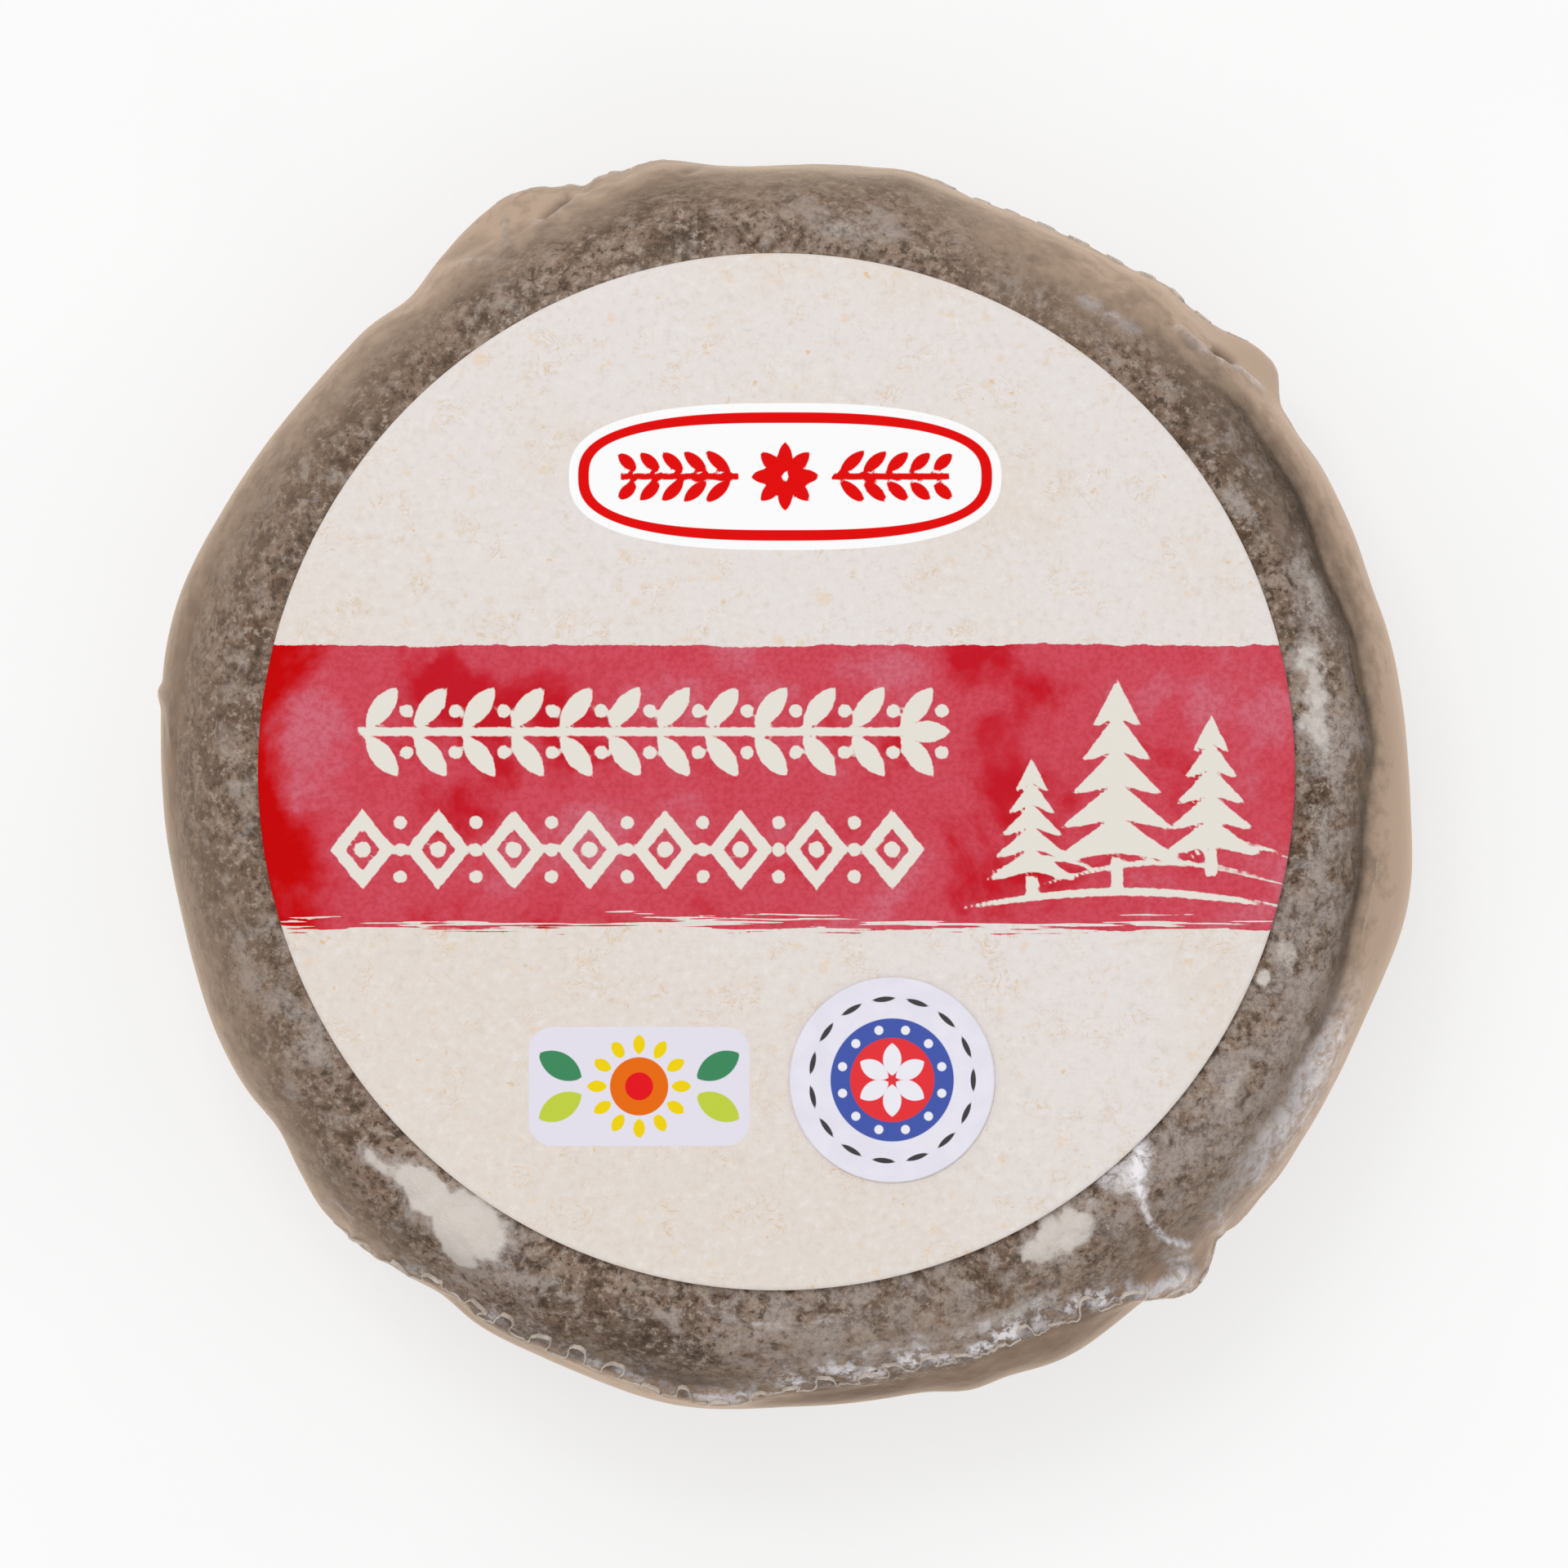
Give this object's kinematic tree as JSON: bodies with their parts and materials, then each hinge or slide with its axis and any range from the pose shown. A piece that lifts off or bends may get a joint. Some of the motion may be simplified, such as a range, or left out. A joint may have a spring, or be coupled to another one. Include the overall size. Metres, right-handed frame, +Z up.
{
  "type": "cheese wheel",
  "caption": "Small flat round cheese with a grey mouldy rind, sealed in clear shrink film, with a round paper label and a small round sticker on its top.",
  "frame": {"origin": "on the surface that the wheel rests on, under the middle of its bounding box", "axes": "+Z up through the label, +Y towards the top of the label's print, +X to the right of the print"},
  "size_m": [0.118, 0.118, 0.0387],
  "materials": {
    "rind": "dry brushed natural rind, grey-brown with patches of pale mould",
    "film": "clear shrink film, a little hazy where it is thick or creased",
    "label_paper": "uncoated cream paper with coloured fibres, printed in dull red and cream",
    "sticker_paper": "smooth white paper with a faint violet cast, printed in blue and red"
  },
  "bodies": {
    "root": {"wrapped_cheese_wheel": "rind", "paper_label": "label_paper", "round_sticker": "sticker_paper"}
  },
  "joints": []
}
